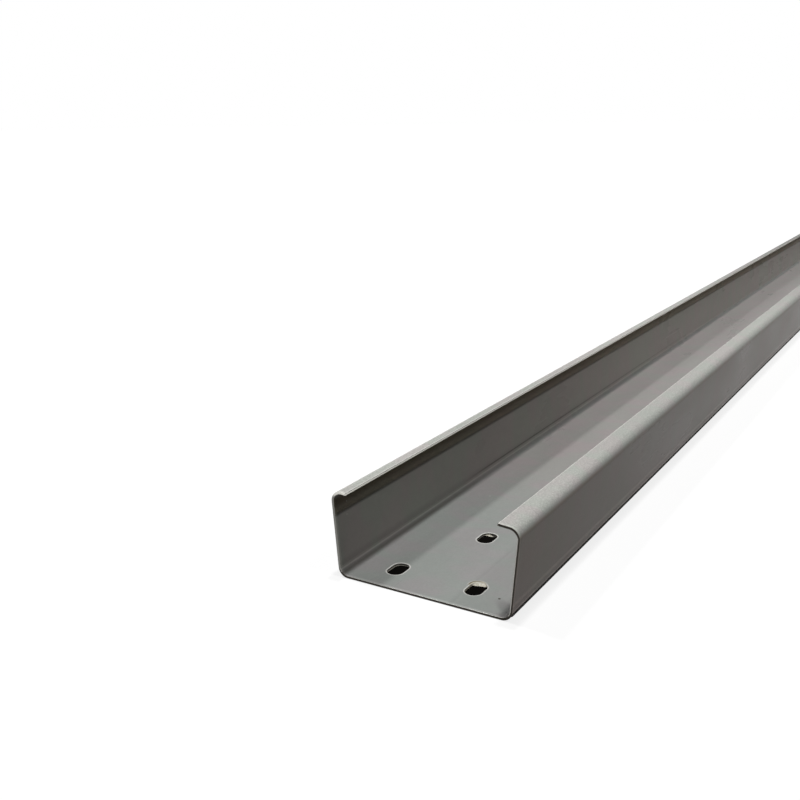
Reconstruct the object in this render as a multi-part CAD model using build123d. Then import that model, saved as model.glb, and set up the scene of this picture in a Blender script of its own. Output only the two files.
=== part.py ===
from build123d import *
import os
from math import cos, radians, sin

os.makedirs("parts", exist_ok=True)

# Cold-formed lipped channel, one bent strip of steel. Millimetres.
# Origin: outer face of the web, on its centre line, halfway along the length.
# X runs along the length, Y across the web, Z up from the web to the lips.

# Section, measured to the outer mould lines
length = 6000.0
web_width = 150.0
flange_width = 73.5
minus_y_lip_width = 18.0
plus_y_lip_width = 14.0
sheet = 2.0
inner_bend_radius = 6.5
outer_bend_radius = inner_bend_radius + sheet

# Degrees that each flange stands open, and that each lip droops from square to its flange
flange_opening = 4.7
minus_y_lip_droop = 0.0
plus_y_lip_droop = 10.0

# Punched slots: a pair across the web near each end, and a single one behind it
slot_width = 14.0
slot_length = 22.0
pair_gauge = 70.0
pair_from_end = 31.0
single_from_end = 120.0

# The slots' own centre line lies this far from the web's, toward the +Y flange
slot_line_offset = 4.0

# Edges as the tools leave them: slit lips, punched slots and sheared ends
slit_edge_round = 0.4
slot_rim_round = 0.3
end_rim_round = 0.3


def half_outline(side, lip_width, lip_droop):
    """Outer mould line from the tip of one lip to its web corner. Side is 1 for +Y, -1 for -Y."""
    lean = radians(flange_opening)
    rise = radians(flange_opening - lip_droop)
    web_corner = Vector(side * web_width / 2, 0)
    lip_corner = web_corner + Vector(side * sin(lean), cos(lean)) * flange_width
    lip_tip = lip_corner + Vector(-side * cos(rise), sin(rise)) * lip_width
    return [lip_tip, lip_corner, web_corner]


plus_y_outline = half_outline(1, plus_y_lip_width, plus_y_lip_droop)
minus_y_outline = half_outline(-1, minus_y_lip_width, minus_y_lip_droop)


def bent_section():
    """Closed section of the bent strip, in the plane across the length."""
    with BuildSketch(Plane.YZ) as section:
        with BuildLine():
            FilletPolyline(*plus_y_outline, *reversed(minus_y_outline), radius=outer_bend_radius)
            offset(amount=sheet, side=Side.RIGHT)
        make_face()
    return section.sketch


def round_slit_edges(strip):
    """Round the outer long edge at the tip of each lip."""
    long_edges = strip.edges().filter_by(Axis.X)
    tips = [outline[0] for outline in (plus_y_outline, minus_y_outline)]
    tip_edges = [long_edges.sort_by_distance((0, tip.X, tip.Y))[0] for tip in tips]
    return fillet(tip_edges, slit_edge_round)


def slot_centres():
    """Centres of every slot in the web, the same set at both ends."""
    pair_x = length / 2 - pair_from_end
    single_x = length / 2 - single_from_end
    pair_y = [slot_line_offset - pair_gauge / 2, slot_line_offset + pair_gauge / 2]
    pairs = [(end * pair_x, y) for end in (-1, 1) for y in pair_y]
    singles = [(end * single_x, slot_line_offset) for end in (-1, 1)]
    return pairs + singles


def punch_slots(strip):
    """Cut the slots, then round the rims on the inner face, where the punch goes in."""
    for x, y in slot_centres():
        outline = Pos(x, y, 0) * SlotOverall(slot_length, slot_width)
        strip -= extrude(outline, sheet, dir=(0, 0, 1))
    inner_face = strip.faces().sort_by_distance((0, 0, sheet))[0]
    rims = [edge for rim in inner_face.inner_wires() for edge in rim.edges()]
    return fillet(rims, slot_rim_round)


def round_end_rims(strip):
    """Round the rims of both sheared end faces."""
    return fillet(strip.faces().filter_by(Axis.X).edges(), end_rim_round)


purlin = extrude(bent_section(), length / 2, both=True)
purlin = round_slit_edges(purlin)
purlin = punch_slots(purlin)
purlin = round_end_rims(purlin)
export_step(purlin, "parts/c_purlin.step")
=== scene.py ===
from functools import reduce
from math import cos, degrees, pi, radians, sin, tan
from typing import NamedTuple

import bpy
from mathutils import Matrix, Vector


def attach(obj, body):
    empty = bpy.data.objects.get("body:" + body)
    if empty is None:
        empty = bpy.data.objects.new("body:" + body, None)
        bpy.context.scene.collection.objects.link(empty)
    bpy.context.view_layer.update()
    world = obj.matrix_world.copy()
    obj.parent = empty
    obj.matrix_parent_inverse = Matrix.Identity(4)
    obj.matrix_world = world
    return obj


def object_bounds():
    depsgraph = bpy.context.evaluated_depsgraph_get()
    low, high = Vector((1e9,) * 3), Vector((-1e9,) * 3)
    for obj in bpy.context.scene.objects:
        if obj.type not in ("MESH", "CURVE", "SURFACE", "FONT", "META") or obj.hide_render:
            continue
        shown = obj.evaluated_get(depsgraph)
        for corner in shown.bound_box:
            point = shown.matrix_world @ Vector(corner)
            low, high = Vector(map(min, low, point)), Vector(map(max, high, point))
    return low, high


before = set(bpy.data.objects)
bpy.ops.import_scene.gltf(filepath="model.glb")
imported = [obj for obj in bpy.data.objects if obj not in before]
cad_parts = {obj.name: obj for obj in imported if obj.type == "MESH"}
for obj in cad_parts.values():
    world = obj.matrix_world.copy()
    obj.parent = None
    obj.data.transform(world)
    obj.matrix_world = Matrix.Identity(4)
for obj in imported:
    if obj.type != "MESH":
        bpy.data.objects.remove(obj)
cad_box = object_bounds()
scene = bpy.context.scene
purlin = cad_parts["c_purlin"]

# The strip in metres, as part.py draws it: X along it, Y across its web, Z up from the web to the lips
END_X = cad_box[1][0]
HALF_WEB = 0.075
FLANGE_WIDTH = 0.0735
FLANGE_OPENING = radians(4.7)
PLUS_Y_LIP_FALL = radians(5.3)
SHEET = 0.002
BEND_RADIUS = 0.0085

# Worked out from those. BEND_RADIUS is the outer one, and the height of the web bends' centres.
FLANGE_SLOPE = tan(FLANGE_OPENING)
BEND_TOP = BEND_RADIUS * (1.0 - sin(FLANGE_OPENING))
BEND_CENTRE_Y = HALF_WEB - BEND_RADIUS * tan((pi / 2 - FLANGE_OPENING) / 2)
INNER_BEND_RADIUS = BEND_RADIUS - SHEET
MIDDLE_BEND_RADIUS = BEND_RADIUS - SHEET / 2
LIP_CORNER_Y = HALF_WEB + FLANGE_WIDTH * sin(FLANGE_OPENING)
LIP_CORNER_Z = FLANGE_WIDTH * cos(FLANGE_OPENING)

# Height where the lips' dust and painted light begin, and the tips of the -Y and the +Y lip: how far out, and
# how high
LIP_FOOT = 0.066
TIPS_Y = (0.0631, 0.0672)
TIPS_Z = (0.0747, 0.07196)

# Slots: half of the straight side, radius of the round ends, and places
SLOT_STRAIGHT = 0.004
SLOT_RADIUS = 0.007
SLOT_LINE_Y = 0.004
PAIR_HALF_GAUGE = 0.035
PAIR_FROM_END = 0.031
SINGLE_FROM_END = 0.120
PAIR_X = END_X - PAIR_FROM_END
SINGLE_X = END_X - SINGLE_FROM_END

# The -Y slot of the photographed pair, which the punch tore. It dished the web beyond the slot, as if
# the slot's outline had moved there.
TORN_X = -PAIR_X
TORN_Y = SLOT_LINE_Y - PAIR_HALF_GAUGE
DISH_X = TORN_X + 0.0025
DISH_Y = TORN_Y + 0.0020

# Marks at the photographed end
LIGHT_SPECKS = [(-2.7914, 0.0451, 0.002), (-2.9831, 0.07775, 0.0578), (-2.9843, 0.0769, 0.0472)]
DARK_SPECK = (-2.9745, -0.0534, 0.002)
# A painted glint by the torn slot, and how much narrower it is across
GLINT = (-2.9592, -0.0288, 0.002)
GLINT_NARROWING = 0.5
STAIN_X = -2.9850
STAIN_Y = -0.0640
STAIN_TURN = radians(41.84)
STAIN_NARROWING = 0.45

# Colours of the skin, in linear red, green and blue
WEB_SKIN = (0.291, 0.296, 0.286)
FLANGE_SKIN = (0.322, 0.311, 0.291)
# The outer flanges' skin is darker as painted shade, and warmer farther from the ends
PAINTED_SHADE_OUTER_SKIN = (0.258, 0.222, 0.192)
FAR_PAINTED_SHADE_OUTER_SKIN = (0.268, 0.228, 0.184)
# The lips' tops are paler with dust and painted light
DUST_AND_LIGHT_ON_LIPS = (0.433, 0.430, 0.406)
# Grime and painted shade in the bends, painted shade under the lips, and painted shade on the bends'
# underside
GRIME_AND_PAINTED_SHADE = (0.135, 0.126, 0.112)
LIP_SHADE = (0.110, 0.092, 0.070)
PAINTED_UNDERSIDE_SHADE = (0.030, 0.028, 0.025)
LIGHT_DIRT = (0.62, 0.61, 0.58)
DARK_DIRT = (0.05, 0.04, 0.03)

# Factors that turn the skin a little greener and redder, and browner in the painted shade under the +Y lip
GREENER = (0.975, 1.012, 0.99)
REDDER = (1.025, 0.988, 1.005)
REDDER_WEB = (1.075, 1.0, 1.005)
SHADE_BROWNER = (1.00, 0.92, 0.80)

# Colours of the cut and torn edges, with a painted sheen, painted highlights and a painted glint among them.
# A pair is a wall's upper and lower part, or the two shades of torn steel.
PAINTED_CROWN_SHEEN = (0.64, 0.63, 0.59)
# Slit edges: bare steel, painted lighter as a highlight too
SLIT_EDGE = (0.68, 0.675, 0.64)
SLIT_FACE = (0.80, 0.79, 0.74)
SLOT_RIM = (0.58, 0.575, 0.545)
DISHED_WEB = (0.50, 0.465, 0.37)
PAINTED_GLINT = (0.85, 0.84, 0.78)
DISH_EDGE = (0.14, 0.122, 0.082)
DISH_RIM = (0.52, 0.515, 0.485)
PLUS_Y_WALL = ((0.06, 0.056, 0.050), (0.30, 0.29, 0.27))
SINGLE_WALL = ((0.05, 0.046, 0.040), (0.85, 0.80, 0.70))
MINUS_Y_WALL = (0.85, 0.80, 0.66)
CUT_RIM = (0.62, 0.61, 0.57)
CUT_CORE = (0.11, 0.098, 0.082)
BRIGHT_CUT = (0.42, 0.415, 0.385)
TORN_STEEL = ((0.56, 0.53, 0.43), (0.78, 0.75, 0.66))
BROWN_TEAR = (0.36, 0.33, 0.26)
# Painted shade by the wall of the single slot
PAINTED_TEAR_SHADE = (0.03, 0.028, 0.025)
PLUS_Y_TEAR = (0.21, 0.20, 0.17)

# Gloss of the steel, and heights of its relief in metres
SPECULAR_LEVEL = 0.035
GRAIN_HEIGHT = 0.000012
FINE_LINE_HEIGHT = 0.000001
BROAD_LINE_HEIGHT = 0.000003
TEAR_HEIGHT = 0.00004

# Floor: its colour to the camera and to the light, its glow, and the place and light of the near lamps
SHOWN_FLOOR = (0.25, 0.25, 0.25)
PLAIN_FLOOR = (0.15, 0.15, 0.15)
FLOOR_GLOW = 0.955
LIT_FLOOR = (-2.8, 0.0, 0.0)
LIT_FLOOR_LEVEL = 0.165
LIT_FLOOR_FALLOFF = 0.25
# The painted shadow under the web, seen through the slots
PAINTED_SHADOW_UNDER_WEB = (0.005, 0.0045, 0.004)


def add_camera():
    """Camera, matched to the photograph."""
    data = bpy.data.cameras.new("camera")
    data.sensor_width = 36.0
    data.lens = 43.779
    data.clip_start = 0.01
    data.clip_end = 200.0
    camera = bpy.data.objects.new("camera", data)
    right = Vector((0.52113, -0.85336, -0.01397)).normalized()
    forward = Vector((0.81823, 0.5042, -0.27621)).normalized()
    up = right.cross(forward).normalized()
    right = forward.cross(up)
    place = Matrix((right, up, -forward)).transposed().to_4x4()
    place.translation = (-3.57477, -0.33818, 0.3482)
    camera.matrix_world = place
    scene.collection.objects.link(camera)
    scene.camera = camera


class Tree:
    """A node tree, with short calls for the nodes that the materials use."""

    def __init__(self, tree):
        self.tree = tree
        tree.nodes.clear()

    def node(self, kind, **settings):
        made = self.tree.nodes.new(kind)
        for key, value in settings.items():
            setattr(made, key, value)
        return made

    def put(self, socket, value):
        """Link a node's output to a socket, or set the socket's own number, place or colour."""
        if isinstance(value, bpy.types.NodeSocket):
            self.tree.links.new(value, socket)
        elif isinstance(value, tuple) and len(value) < len(socket.default_value):
            socket.default_value = (*value, 1.0)
        else:
            socket.default_value = value

    def math(self, operation, *values):
        made = self.node("ShaderNodeMath", operation=operation)
        for socket, value in zip(made.inputs, values):
            self.put(socket, value)
        return made.outputs[0]

    def times(self, *values):
        return reduce(lambda a, b: self.math("MULTIPLY", a, b), values)

    def plus(self, *values):
        return reduce(lambda a, b: self.math("ADD", a, b), values)

    def minus(self, a, b):
        return self.math("SUBTRACT", a, b)

    def line(self, value, slope, start):
        """The value times a slope, plus a start."""
        return self.math("MULTIPLY_ADD", value, slope, start)

    def magnitude(self, value):
        """The value without its sign."""
        return self.math("ABSOLUTE", value)

    def distance(self, a, b):
        """How far a step of a and a step of b, square to it, lead together."""
        return self.math("SQRT", self.plus(self.times(a, a), self.times(b, b)))

    def inverse(self, mask):
        """1 where the mask is 0, and 0 where it is 1."""
        return self.minus(1.0, mask)

    def ramp(self, value, low, high, to_low=0.0, to_high=1.0):
        """A smooth step from one number to another while the value goes from low to high."""
        made = self.node("ShaderNodeMapRange", interpolation_type="SMOOTHSTEP")
        for socket, number in zip(made.inputs, (value, low, high, to_low, to_high)):
            self.put(socket, number)
        return made.outputs[0]

    def fall(self, value, low, high):
        """1 below low, fading to 0 at high."""
        return self.ramp(value, low, high, 1.0, 0.0)

    def band(self, value, low, high, soft):
        """1 between low and high, fading over soft on both sides."""
        rise = self.ramp(value, low - soft, low + soft)
        return self.times(rise, self.fall(value, high - soft, high + soft))

    def vary(self, noise, amount):
        """A factor round 1 from a noise value round 0.5."""
        return self.line(noise, 2.0 * amount, 1.0 - amount)

    def mix(self, factor, a, b, blend="MIX"):
        """Colour a, going over to colour b as the factor goes from 0 to 1."""
        made = self.node("ShaderNodeMix", data_type="RGBA", blend_type=blend)
        for socket, value in ((made.inputs[0], factor), (made.inputs[6], a), (made.inputs[7], b)):
            self.put(socket, value)
        return made.outputs[2]

    def tinted(self, colour, tint):
        """The colour times a tint, channel by channel."""
        return self.mix(1.0, colour, tint, "MULTIPLY")

    def mix_number(self, factor, a, b):
        """Number a, going over to number b as the factor goes from 0 to 1."""
        made = self.node("ShaderNodeMix", data_type="FLOAT")
        for socket, value in ((made.inputs[0], factor), (made.inputs[2], a), (made.inputs[3], b)):
            self.put(socket, value)
        return made.outputs[0]

    def scaled(self, colour, factor):
        """The colour, lighter or darker by a factor."""
        made = self.node("ShaderNodeVectorMath", operation="SCALE")
        self.put(made.inputs[0], colour)
        self.put(made.inputs["Scale"], factor)
        return made.outputs[0]

    def own_place(self):
        """The point in the object's own frame, which is the part's frame."""
        return self.node("ShaderNodeTexCoord").outputs["Object"]

    def split(self, vector):
        made = self.node("ShaderNodeSeparateXYZ")
        self.put(made.inputs[0], vector)
        return made.outputs

    def stretch(self, vector, scale, shift=(0.0, 0.0, 0.0)):
        made = self.node("ShaderNodeMapping")
        self.put(made.inputs["Vector"], vector)
        made.inputs["Location"].default_value = shift
        made.inputs["Scale"].default_value = scale
        return made.outputs[0]

    def noise(self, vector, scale, detail=2.0, roughness=0.5):
        made = self.node("ShaderNodeTexNoise", noise_dimensions="3D")
        self.put(made.inputs["Vector"], vector)
        made.inputs["Scale"].default_value = scale
        made.inputs["Detail"].default_value = detail
        made.inputs["Roughness"].default_value = roughness
        return made.outputs[0]

    def away_from(self, vector, centre):
        """Distance from a point."""
        made = self.node("ShaderNodeVectorMath", operation="DISTANCE")
        self.put(made.inputs[0], vector)
        made.inputs[1].default_value = centre
        return made.outputs["Value"]

    def spot(self, vector, centre, radius, soft):
        """1 within radius of a point, fading over soft."""
        return self.fall(self.away_from(vector, centre), radius, radius + soft)


def from_slot(t, along, across):
    """Distance outside the rim of a slot, from how far a point lies along and across its middle."""
    past_straight = t.math("MAXIMUM", t.minus(t.magnitude(along), SLOT_STRAIGHT), 0.0)
    return t.minus(t.distance(past_straight, across), SLOT_RADIUS)


def from_nearest_slot(t, x, y):
    """Distance outside the nearest slot's rim, negative inside it."""
    from_middle = t.magnitude(x)
    from_line = t.minus(y, SLOT_LINE_Y)
    across_pair = t.minus(t.magnitude(from_line), PAIR_HALF_GAUGE)
    pair = from_slot(t, t.minus(from_middle, PAIR_X), across_pair)
    single = from_slot(t, t.minus(from_middle, SINGLE_X), from_line)
    return t.math("MINIMUM", pair, single)


class Strip(Tree):
    """The skin's node tree, with the places that several of its layers follow, as masks from 0 to 1."""

    def __init__(self, tree):
        super().__init__(tree)
        self.place = self.own_place()
        self.x, self.y, self.z = self.split(self.place)
        self.mark_length()
        self.mark_section()
        self.mark_bends()
        self.mark_lips()
        self.mark_ends()
        self.from_slots = from_nearest_slot(self, self.x, self.y)
        self.slot_ring = self.times(self.web, self.band(self.from_slots, 0.0002, 0.0011, soft=0.0003))
        self.add_noises()

    def mark_length(self):
        """Stretches of the length, by the distance from its middle."""
        self.from_middle = self.magnitude(self.x)
        self.off_ends = self.fall(self.from_middle, 2.0, 2.85)
        self.ends = self.inverse(self.off_ends)
        self.off_slots = self.fall(self.from_middle, 2.66, 2.86)
        self.far = self.fall(self.from_middle, 1.3, 2.2)
        self.farther = self.fall(self.from_middle, 0.5, 1.5)

    def mark_section(self):
        """The web, flanges and lips, and the two faces of the sheet."""
        self.across = self.magnitude(self.y)
        self.plus_y = self.ramp(self.y, -0.001, 0.001)
        self.web = self.fall(self.z, SHEET + 0.0001, SHEET + 0.0006)
        self.off_web = self.ramp(self.z, 0.003, BEND_TOP)
        self.lip = self.ramp(self.z, LIP_FOOT, LIP_FOOT + 0.006)
        self.flange = self.times(self.off_web, self.inverse(self.lip))
        self.from_mould_line = self.minus(self.across, self.line(self.z, FLANGE_SLOPE, HALF_WEB))
        self.outer_face = self.ramp(self.from_mould_line, -0.75 * SHEET, -0.25 * SHEET)
        self.inner_face = self.inverse(self.outer_face)
        self.inner_walls = self.times(self.inner_face, self.ramp(self.z, BEND_RADIUS, BEND_RADIUS + 0.0005))
        self.inner_flange = self.times(self.flange, self.inner_face)
        self.outer_flange = self.times(self.outer_face, self.flange)

    def mark_bends(self):
        """The bends at the web. Their turn goes from 0 at the web to 85 degrees at the flange."""
        past_web = self.minus(self.across, BEND_CENTRE_Y)
        below_centre = self.minus(BEND_RADIUS, self.z)
        self.turn = self.math("ARCTAN2", past_web, below_centre)
        reach = self.distance(past_web, below_centre)
        inner_half = self.fall(reach, MIDDLE_BEND_RADIUS - 0.0003, MIDDLE_BEND_RADIUS + 0.0003)
        in_sheet = self.ramp(reach, INNER_BEND_RADIUS - 0.001, INNER_BEND_RADIUS - 0.0003)
        below_flange = self.fall(self.z, BEND_RADIUS, BEND_RADIUS + 0.0003)
        self.inner_bend = self.times(inner_half, in_sheet, below_flange)
        outer_half = self.ramp(reach, MIDDLE_BEND_RADIUS, MIDDLE_BEND_RADIUS + 0.0005)
        low_half = self.fall(self.z, 0.0064, 0.0074)
        self.under_bend = self.times(outer_half, low_half, self.ramp(past_web, 0.0, 0.002))

    def mark_lips(self):
        """The slit edges at the lips' tips: the rounded edge, and the face below it."""
        tip_y = self.mix_number(self.plus_y, *TIPS_Y)
        tip_z = self.mix_number(self.plus_y, *TIPS_Z)
        at_tip = self.fall(self.minus(self.across, tip_y), 0.0005, 0.0010)
        self.slit_edge = self.times(self.ramp(self.z, 0.0690, 0.0695), at_tip)
        self.slit_face = self.times(self.slit_edge, self.ramp(self.minus(tip_z, self.z), 0.0004, 0.0007))

    def mark_ends(self):
        """The sheared end faces: all of them, their core, the bright +Y side and the +Y lip."""
        self.end_face = self.ramp(self.from_middle, END_X - 0.0003, END_X - 0.0001)
        self.end_core = self.times(self.end_face, self.fall(self.sheet_depth(), 0.0011, 0.0014))
        self.bright_end = self.times(self.ramp(self.y, 0.060, 0.064), self.ramp(self.z, 0.004, 0.008))
        self.lip_end = self.times(self.end_face, self.plus_y, self.ramp(self.z, 0.0655, 0.0700))

    def sheet_depth(self):
        """Depth in an end face below the strip's outer skin, counted 0.6 mm less off the flanges."""
        lip_slope = self.mix_number(self.plus_y, FLANGE_SLOPE, -tan(PLUS_Y_LIP_FALL))
        lip_top = self.line(self.minus(LIP_CORNER_Y, self.across), lip_slope, LIP_CORNER_Z)
        below_face = self.math("MINIMUM", self.z, self.minus(lip_top, self.z))
        behind_side = self.times(self.from_mould_line, -1.0)
        in_corner = [
            self.math("MAXIMUM", self.minus(BEND_RADIUS, depth), 0.0) for depth in (below_face, behind_side)
        ]
        depth = self.minus(BEND_RADIUS, self.distance(*in_corner))
        on_flange = self.times(self.ramp(self.z, 0.003, 0.006), self.fall(self.z, LIP_FOOT, LIP_FOOT + 0.004))
        return self.plus(depth, self.line(on_flange, 0.0006, -0.0006))

    def add_noises(self):
        """Clouds and mottling in the skin, rolling lines, and grain that fades away from the ends."""
        drawn_out = self.stretch(self.place, (0.4, 1.0, 1.0))
        shifted = self.stretch(self.place, (0.8, 1.0, 1.0), shift=(0.3, 0.1, 0.2))
        self.clouds = self.noise(drawn_out, scale=16.0, detail=3.0, roughness=0.55)
        self.mottle = self.noise(shifted, scale=150.0, detail=3.0, roughness=0.6)
        self.broad_lines = self.noise(self.stretch(self.place, (0.012, 1.0, 1.0)), scale=90.0)
        self.fine_lines = self.noise(self.stretch(self.place, (0.006, 1.0, 1.0)), scale=520.0, roughness=0.6)
        grain = self.noise(self.place, scale=700.0, roughness=0.6)
        self.grain = self.times(self.minus(grain, 0.5), self.inverse(self.far))


def skin_colour(s):
    """Mill skin, painted shade on the outer flanges, dust and painted light on the lips, clouds of hue,
    lines, mottling and grain.
    """
    colour = s.mix(s.flange, WEB_SKIN, FLANGE_SKIN)
    colour = s.mix(s.outer_flange, colour, PAINTED_SHADE_OUTER_SKIN)
    colour = s.mix(s.times(s.outer_flange, s.farther), colour, FAR_PAINTED_SHADE_OUTER_SKIN)
    colour = s.mix(s.lip, colour, DUST_AND_LIGHT_ON_LIPS)
    hue = s.noise(s.stretch(s.place, (1.0, 0.6, 0.45), shift=(3.0, 1.0, 7.0)), scale=34.0)
    colour = s.mix(s.ramp(hue, 0.40, 0.60), s.tinted(colour, GREENER), s.tinted(colour, REDDER))
    colour = s.mix(s.times(s.web, s.off_slots), colour, s.tinted(colour, REDDER_WEB))
    tone = s.times(
        s.vary(s.clouds, 0.08),
        s.vary(s.mottle, 0.045),
        s.vary(s.broad_lines, 0.006),
        s.vary(s.fine_lines, 0.005),
        s.line(s.times(s.grain, s.lip), 0.60, 1.0),
    )
    return s.scaled(colour, s.times(tone, s.line(s.grain, 0.16, 1.0)))


def add_grime_and_painted_shade(s, colour):
    """Grime and painted shade in the bends, painted brown shade under the lips and painted shade on the
    bends' underside.
    """
    grime_and_painted_shade = s.times(s.inner_bend, s.band(s.turn, radians(26), radians(58), soft=radians(16)))
    below_lip = s.times(s.ramp(s.z, 0.0540, 0.0612), s.fall(s.z, LIP_FOOT, LIP_FOOT + 0.0015))
    under_lip = s.times(s.inner_face, below_lip, s.ramp(s.across, 0.070, 0.073))
    under_tip = s.times(s.inner_walls, s.ramp(s.z, 0.0505, 0.0530), s.fall(s.z, 0.0640, 0.0655))
    colour = s.mix(s.times(grime_and_painted_shade, s.line(s.off_slots, -0.50, 0.72)), colour, GRIME_AND_PAINTED_SHADE)
    colour = s.mix(s.times(under_lip, 0.75), colour, LIP_SHADE)
    # Painted brown shade below the +Y lip's tip
    colour = s.mix(s.times(under_tip, s.plus_y), colour, s.tinted(colour, SHADE_BROWNER))
    # The bends' underside, painted dark as shade
    return s.mix(s.times(s.under_bend, 0.95), colour, PAINTED_UNDERSIDE_SHADE)


def stain(s):
    """A long smear on the web by the torn slot, aslant to the strip."""
    x = s.plus(s.x, -STAIN_X)
    y = s.plus(s.y, -STAIN_Y)
    along = s.plus(s.times(x, sin(STAIN_TURN)), s.times(y, cos(STAIN_TURN)))
    aside = s.plus(s.times(x, cos(STAIN_TURN)), s.times(y, -sin(STAIN_TURN)))
    smear = s.fall(s.distance(s.times(along, STAIN_NARROWING), aside), 0.0030, 0.0080)
    return s.times(smear, s.fall(s.z, 0.006, 0.012), s.ramp(s.y, -0.02, -0.03))


def painted_line_light(s):
    """Painted highlights and shade in lines and bands along the strip, where its bends meet its flats and
    below the lips.
    """
    foot_line = s.times(s.inner_walls, s.band(s.z, 0.0096, 0.0110, soft=0.0007))
    near_stretch = s.times(s.fall(s.from_middle, 2.72, 2.80), s.ramp(s.from_middle, 1.9, 2.3))
    return [
        (0.38, s.inner_bend, s.band(s.turn, radians(66), radians(76), soft=radians(5))),
        (0.90, s.outer_face, s.band(s.z, 0.0073, 0.0084, soft=0.0003)),
        (0.45, s.outer_face, s.band(s.z, 0.0120, 0.0148, soft=0.0010)),
        (-0.48, s.inner_walls, s.band(s.z, 0.0503, 0.0526, soft=0.0013)),
        (-0.40, foot_line, near_stretch),
    ]


def painted_length_light(s):
    """Painted light and shade that change slowly along the length."""
    return [
        (0.07, s.off_ends),
        (0.10, s.off_ends, s.off_web),
        (0.35, s.off_ends, s.inner_flange),
        (0.09, s.far, s.web),
        (0.16, s.far, s.inner_flange),
        (0.34, s.far, s.outer_flange),
        (-0.25, s.far, s.lip),
        (0.34, s.farther, s.inner_flange),
        (-0.12, s.farther, s.lip),
        (-0.25, s.farther, s.lip, s.plus_y),
    ]


def painted_end_light_and_stain(s):
    """Painted light and shade in patches toward the ends, the stain, and the rim that the shears rubbed, also
    painted lighter as a highlight.
    """
    return [
        (0.06, s.lip, s.ramp(s.from_middle, 2.70, 2.90)),
        (0.08, s.outer_flange, s.ramp(s.from_middle, 2.88, 2.98)),
        (0.13, s.ends, s.web, s.fall(s.y, -0.0275, -0.0245)),
        (-0.06, s.ends, s.web, s.ramp(s.y, 0.030, 0.036)),
        (-0.15, s.ends, s.inner_walls, s.fall(s.z, 0.0100, 0.0160)),
        (-0.25, stain(s)),
        (0.26, s.ramp(s.from_middle, END_X - 0.0032, END_X - 0.0016)),
    ]


def painted_shading(s, colour):
    """The colour, lighter or darker by the sum of the painted light and shade and the stain. A row is a share
    and its masks.
    """
    painted_rows = painted_line_light(s) + painted_length_light(s) + painted_end_light_and_stain(s)
    return s.scaled(colour, s.plus(1.0, *[s.times(*masks, share) for share, *masks in painted_rows]))


def specked(s, colour):
    """Small light specks and a dark one."""
    light = s.plus(*[s.spot(s.place, centre, radius=0.0004, soft=0.0006) for centre in LIGHT_SPECKS])
    colour = s.mix(s.times(light, 0.45), colour, LIGHT_DIRT)
    return s.mix(s.spot(s.place, DARK_SPECK, radius=0.0007, soft=0.0006), colour, DARK_DIRT)


def lip_sheen_and_slit_edges(s, colour):
    """Painted sheen on the crown of the +Y lip, and both slit edges, bare steel painted lighter as a
    highlight too.
    """
    crown = s.times(s.plus_y, s.ramp(s.z, 0.0665, 0.0690), s.ramp(s.across, 0.0735, 0.0755))
    colour = s.mix(s.times(crown, s.line(s.far, -0.70, 0.85)), colour, PAINTED_CROWN_SHEEN)
    colour = s.mix(s.times(s.slit_edge, 0.8), colour, SLIT_EDGE)
    return s.mix(s.slit_face, colour, SLIT_FACE)


def web_dished(s, colour):
    """The dish beyond the torn slot: tan, with a painted glint, a brown edge and a bare ring."""
    from_dish = from_slot(s, s.minus(s.x, DISH_X), s.minus(s.y, DISH_Y))
    beyond = s.times(s.web, s.ramp(s.x, DISH_X, DISH_X + 0.0025))
    dish = s.times(s.ramp(s.z, 0.0014, 0.0017), beyond, s.fall(from_dish, -0.0004, 0.0004))
    by_rim = s.times(s.ramp(from_dish, -0.0016, -0.0006), s.ramp(s.y, TORN_Y, TORN_Y + 0.005))
    edge = s.times(dish, by_rim, s.ramp(s.z, 0.0018, SHEET))
    off_slot = s.ramp(s.from_slots, 0.0002, 0.0005)
    ring = s.times(beyond, s.band(from_dish, 0.0003, 0.0010, soft=0.0003), off_slot)
    narrowed = s.stretch(s.place, (1.0, GLINT_NARROWING, 1.0))
    glint = s.spot(narrowed, (GLINT[0], GLINT[1] * GLINT_NARROWING, GLINT[2]), radius=0.0007, soft=0.0012)
    colour = s.mix(dish, colour, s.mix(glint, DISHED_WEB, PAINTED_GLINT))
    colour = s.mix(edge, colour, DISH_EDGE)
    return s.mix(s.times(ring, 0.8), colour, DISH_RIM)


def slots_bared(s, colour):
    """Bare steel round the slots. The walls are dark above a lighter foot in the single and +Y slots, bright
    tan in the -Y one.
    """
    colour = web_dished(s, s.mix(s.slot_ring, colour, SLOT_RIM))
    low = s.fall(s.z, 0.0004, 0.0007)
    wall = s.mix(s.ramp(s.y, 0.015, 0.020), s.mix(low, *SINGLE_WALL), s.mix(low, *PLUS_Y_WALL))
    wall = s.mix(s.fall(s.y, -0.020, -0.015), wall, MINUS_Y_WALL)
    wall = s.mix(s.ramp(s.z, 0.0014, 0.0017), wall, SLOT_RIM)
    return s.mix(s.times(s.web, s.fall(s.from_slots, 0.0001, 0.0003)), colour, wall)


def ends_bared(s, colour):
    """The sheared ends: a bright rim round a dark core, one bright side, and the +Y lip's end, painted bright
    as a highlight.
    """
    cut = s.mix(s.bright_end, s.mix(s.end_core, CUT_RIM, CUT_CORE), BRIGHT_CUT)
    return s.mix(s.lip_end, s.mix(s.end_face, colour, cut), CUT_RIM)


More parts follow.
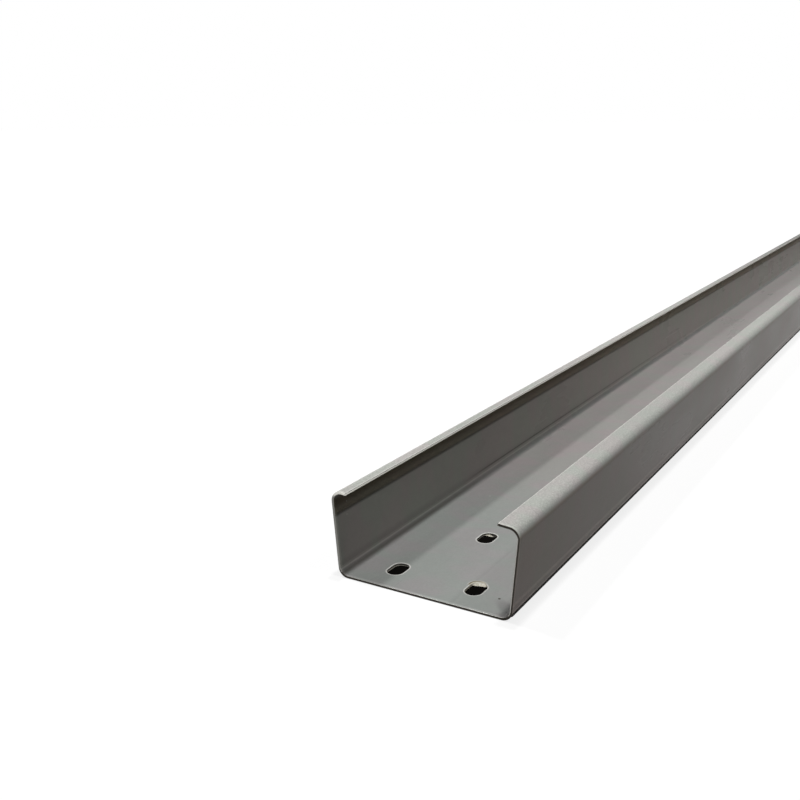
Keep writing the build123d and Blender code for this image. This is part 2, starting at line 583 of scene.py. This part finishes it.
def skin_roughness(s):
    """Duller on the lips and under the bends, and cloudy all over."""
    shares = [
        (0.20, s.minus(s.clouds, 0.5)),
        (0.02, s.minus(s.fine_lines, 0.5)),
        (0.25, s.lip),
        (0.05, s.end_face),
        (0.5, s.under_bend),
        (-0.08, s.slot_ring),
        (0.25, s.slit_edge),
    ]
    roughness = s.plus(0.30, *[s.times(mask, share) for share, mask in shares])
    return s.math("MINIMUM", s.math("MAXIMUM", roughness, 0.2), 0.8)


def bare_metal(s):
    """How metallic the cut edges are. The skin isn't metallic."""
    cut = s.mix_number(s.bright_end, s.mix_number(s.end_core, 0.42, 0.08), 0.26)
    ends = s.math("MAXIMUM", s.times(s.end_face, cut), s.times(s.lip_end, 0.95))
    return s.math("MAXIMUM", ends, s.slit_face)


def new_material(name, kind=Tree):
    """A material with an empty node tree: the material, the tree and the surface's socket."""
    material = bpy.data.materials.new(name)
    material.use_nodes = True
    t = kind(material.node_tree)
    return material, t, t.node("ShaderNodeOutputMaterial").inputs["Surface"]


def add_steel_shader(t, surface, colour, roughness, height):
    """A dull shader with a bumpy surface. The height is in metres."""
    shader = t.node("ShaderNodeBsdfPrincipled")
    t.put(shader.inputs["Base Color"], colour)
    t.put(shader.inputs["Roughness"], roughness)
    shader.inputs["Specular IOR Level"].default_value = SPECULAR_LEVEL
    bump = t.node("ShaderNodeBump")
    bump.inputs["Strength"].default_value = 1.0
    bump.inputs["Distance"].default_value = 1.0
    t.put(bump.inputs["Height"], height)
    t.put(shader.inputs["Normal"], bump.outputs[0])
    t.put(surface, shader.outputs[0])
    return shader


def steel():
    """Dull mill-finish steel: rolling lines, mottled skin, dust on the lips, bare cut edges, and painted
    light and shade.
    """
    material, s, surface = new_material("steel_mill_skin", Strip)
    colour = skin_colour(s)
    for layer in (add_grime_and_painted_shade, painted_shading, specked, lip_sheen_and_slit_edges, slots_bared, ends_bared):
        colour = layer(s, colour)
    relief = [(s.grain, GRAIN_HEIGHT), (s.fine_lines, FINE_LINE_HEIGHT), (s.broad_lines, BROAD_LINE_HEIGHT)]
    height = s.plus(*[s.times(noise, peak) for noise, peak in relief])
    shader = add_steel_shader(s, surface, colour, skin_roughness(s), height)
    s.put(shader.inputs["Metallic"], bare_metal(s))
    return material


def torn_steel():
    """Bare torn steel, tan where it is dragged, darker in the single slot with painted shade by its wall,
    dark in the +Y slot.
    """
    material, t, surface = new_material("steel_torn")
    place = t.own_place()
    x, y = t.split(place)[:2]
    tears = t.noise(t.stretch(place, (0.5, 1.0, 1.0)), scale=900.0, roughness=0.6)
    in_single = t.ramp(x, -2.92, -2.91)
    off_rim = t.plus(from_nearest_slot(t, x, y), t.ramp(y, 0.0020, 0.0090, 0.0, -0.0030))
    by_rim = t.times(in_single, t.ramp(off_rim, -0.0024, -0.0020))
    colour = t.mix(t.ramp(tears, 0.35, 0.65), *TORN_STEEL)
    colour = t.mix(t.ramp(y, -0.0335, -0.0365), colour, BROWN_TEAR)
    colour = t.scaled(colour, t.line(in_single, -0.30, 1.0))
    colour = t.mix(by_rim, colour, PAINTED_TEAR_SHADE)
    colour = t.mix(t.ramp(y, 0.015, 0.020), colour, PLUS_Y_TEAR)
    add_steel_shader(t, surface, colour, t.line(tears, 0.2, 0.3), t.times(tears, TEAR_HEIGHT))
    return material


class Burr(NamedTuple):
    """A torn ledge along a slot's rim. Its turns round the slot are in degrees, the rest is in metres.

    It ends on a straight line, given from the middle of the slot's far round end, or at a depth from the
    rim that swells toward the ledge's middle.
    """

    slot: tuple
    turns: tuple
    top: float
    bottom: float
    tip_height: float
    depth: float = 0.0
    tip_line: tuple = ()


# The burrs that the punch left in the slots of the photographed end
BURRS = [
    Burr(
        slot=(TORN_X, TORN_Y),
        turns=(70.5, -44.5),
        top=0.00175,
        bottom=0.0009,
        tip_height=0.0006,
        tip_line=((0.0023, 0.0065), (0.0049, -0.0048)),
    ),
    Burr(
        slot=(-SINGLE_X, SLOT_LINE_Y),
        turns=(58.0, -46.0),
        top=0.0005,
        bottom=0.0001,
        tip_height=0.00025,
        depth=0.0036,
    ),
    Burr(
        slot=(-PAIR_X, SLOT_LINE_Y + PAIR_HALF_GAUGE),
        turns=(196.0, -34.0),
        top=0.0005,
        bottom=0.0001,
        tip_height=0.00025,
        depth=0.0007,
    ),
]

# Stations along a burr and steps over it, how far its root is sunk in the wall, and half of its tip
BURR_STATIONS = 28
BURR_STEPS = 6
BURR_ROOT = 0.0001
HALF_NOSE = 0.0001


def rim_point(slot, turn, inset):
    """A point inside a slot's rim. Its turn is in degrees, and goes on along the straight side past 90."""
    straight = degrees(2.0 * SLOT_STRAIGHT / SLOT_RADIUS)
    past = min(max((turn - 90.0) / straight, 0.0), 1.0)
    angle = radians(turn - past * straight)
    middle = Vector((slot[0] + SLOT_STRAIGHT * (1.0 - 2.0 * past), slot[1]))
    return middle + Vector((cos(angle), sin(angle))) * (SLOT_RADIUS - inset)


def tip_point(burr, turn, part):
    """Where a burr ends, at a part of its way along the rim."""
    if burr.tip_line:
        start, end = map(Vector, burr.tip_line)
        return Vector((burr.slot[0] + SLOT_STRAIGHT, burr.slot[1])) + start.lerp(end, part)
    return rim_point(burr.slot, turn, HALF_NOSE / 2 + burr.depth * sin(pi * part) ** 0.6)


def burr_ring(burr, wall, tip):
    """Closed ring of points from the wall's top, over the nose and back under to the wall."""
    drop = burr.tip_height + HALF_NOSE - burr.top
    rise = burr.tip_height - HALF_NOSE - burr.bottom
    ring = []
    for step in range(BURR_STEPS):
        along = step / (BURR_STEPS - 1)
        ring.append((*wall.lerp(tip, along), burr.top + drop * (0.35 * along + 0.65 * sin(along * pi / 2))))
    ring.append((*wall.lerp(tip, 1.02), burr.tip_height))
    for along in (1.0, 0.5, 0.0):
        ring.append((*wall.lerp(tip, along), burr.bottom + rise * along))
    return ring


def tube_faces(base, stations, ring):
    """Faces round a row of rings of points that starts at base, with both ends closed."""
    faces = []
    for station in range(stations - 1):
        a, b = base + station * ring, base + (station + 1) * ring
        faces += [(a + k, a + (k + 1) % ring, b + (k + 1) % ring, b + k) for k in range(ring)]
    last = base + (stations - 1) * ring
    return faces + [tuple(base + k for k in reversed(range(ring))), tuple(last + k for k in range(ring))]


def add_burrs():
    """The burrs, as one piece."""
    points, faces = [], []
    for burr in BURRS:
        base = len(points)
        first, last = burr.turns
        for station in range(BURR_STATIONS):
            part = station / (BURR_STATIONS - 1)
            turn = first + (last - first) * part
            points += burr_ring(burr, rim_point(burr.slot, turn, -BURR_ROOT), tip_point(burr, turn, part))
        faces += tube_faces(base, BURR_STATIONS, (len(points) - base) // BURR_STATIONS)
    mesh = bpy.data.meshes.new("slot_burrs")
    mesh.from_pydata(points, [], faces)
    mesh.materials.append(torn_steel())
    mesh.shade_smooth()
    burrs = bpy.data.objects.new("slot_burrs", mesh)
    scene.collection.objects.link(burrs)
    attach(burrs, "root")


def white_to_camera(t, plain, shown):
    """The shown shader for camera, glossy and transmission rays, the plain one for all other light."""
    rays = t.node("ShaderNodeLightPath")
    seen = t.math("MAXIMUM", rays.outputs["Is Camera Ray"], rays.outputs["Is Glossy Ray"])
    seen = t.math("MAXIMUM", seen, rays.outputs["Is Transmission Ray"])
    mix = t.node("ShaderNodeMixShader")
    t.put(mix.inputs[0], seen)
    t.put(mix.inputs[1], plain.outputs[0])
    t.put(mix.inputs[2], shown.outputs[0])
    return mix.outputs[0]


def diffuse(t, colour):
    """A matt shader of one colour."""
    shader = t.node("ShaderNodeBsdfDiffuse")
    t.put(shader.inputs["Color"], colour)
    return shader


def floor_paint():
    """White to the camera, and grey to the light. Where the near lamps light it, it glows less."""
    material, t, surface = new_material("floor_white")
    away = t.away_from(t.own_place(), LIT_FLOOR)
    lamps = t.math("DIVIDE", LIT_FLOOR_LEVEL, t.line(t.times(away, away), LIT_FLOOR_FALLOFF, 1.0))
    glow = t.node("ShaderNodeEmission")
    t.put(glow.inputs["Strength"], t.minus(FLOOR_GLOW, lamps))
    shown = t.node("ShaderNodeAddShader")
    t.put(shown.inputs[0], diffuse(t, SHOWN_FLOOR).outputs[0])
    t.put(shown.inputs[1], glow.outputs[0])
    t.put(surface, white_to_camera(t, diffuse(t, PLAIN_FLOOR), shown))
    return material


def shadow_paint():
    """A painted shadow: a dark sheet under the web, which shows through the slots."""
    material, t, surface = new_material("shadow_sheet_under_web")
    t.put(surface, diffuse(t, PAINTED_SHADOW_UNDER_WEB).outputs[0])
    return material


def add_sheet(name, half, corner, z, material):
    """A flat stage sheet with its corners cut off, level at z. Half and corner are along X and Y."""
    mesh = bpy.data.meshes.new(name)
    quarter = [(half[0], half[1] - corner[1]), (half[0] - corner[0], half[1])]
    rim = quarter + [(-a, b) for a, b in reversed(quarter)]
    rim += [(-a, -b) for a, b in rim]
    mesh.from_pydata([(a, b, z) for a, b in rim], [], [tuple(range(len(rim)))])
    mesh.materials.append(material)
    sheet = bpy.data.objects.new(name, mesh)
    scene.collection.objects.link(sheet)


def set_world():
    """White to the camera, and no light of its own."""
    world = bpy.data.worlds.new("studio")
    scene.world = world
    world.use_nodes = True
    t = Tree(world.node_tree)
    backgrounds = []
    for strength in (0.0, 1.0):
        background = t.node("ShaderNodeBackground")
        t.put(background.inputs["Color"], (1.0, 1.0, 1.0))
        background.inputs["Strength"].default_value = strength
        backgrounds.append(background)
    t.put(t.node("ShaderNodeOutputWorld").inputs["Surface"], white_to_camera(t, *backgrounds))


def add_lamp(name, kind, energy, place):
    """A lamp of a kind at a place. Its data come back, for what is special to the kind."""
    data = bpy.data.lights.new(name, kind)
    data.energy = energy
    lamp = bpy.data.objects.new(name, data)
    lamp.matrix_world = place
    scene.collection.objects.link(lamp)
    return data


def add_near_lamp(name, place, radius, power):
    """A soft round lamp at a place near the photographed end."""
    add_lamp(name, "POINT", power, Matrix.Translation(place)).shadow_soft_size = radius


def add_far_lamp(name, toward, angle, level):
    """A far soft lamp that gives a surface square to it the light of a full white sky times level."""
    turned = (-Vector(toward)).to_track_quat("-Z", "Y").to_matrix().to_4x4()
    add_lamp(name, "SUN", level * pi, turned).angle = radians(angle)


add_camera()
purlin.material_slots[0].material = steel()
add_burrs()
add_sheet("floor", half=(60.0, 60.0), corner=(1.0, 1.0), z=-0.0002, material=floor_paint())
# A dark sheet under the web, painted shadow that shows through the slots
add_sheet(
    "shadow_sheet_under_web",
    half=(END_X - 0.001, 0.0721),
    corner=(0.008, 0.0046),
    z=-0.0001,
    material=shadow_paint(),
)
set_world()
add_far_lamp("overhead", toward=(0.0, -0.03, 1.0), angle=4.0, level=0.115)
add_far_lamp("right", toward=(0.0, -0.53, 1.0), angle=5.0, level=0.214)
add_far_lamp("front_low", toward=(-1.0, -0.015, 0.35), angle=4.0, level=0.100)
add_near_lamp("overhead_near", place=(-2.7, -0.006, 2.5), radius=0.087, power=97.0)
add_near_lamp("left_near", place=(-2.9, 0.7146, 1.5), radius=0.063, power=31.7)
scene.view_settings.view_transform = "Standard"
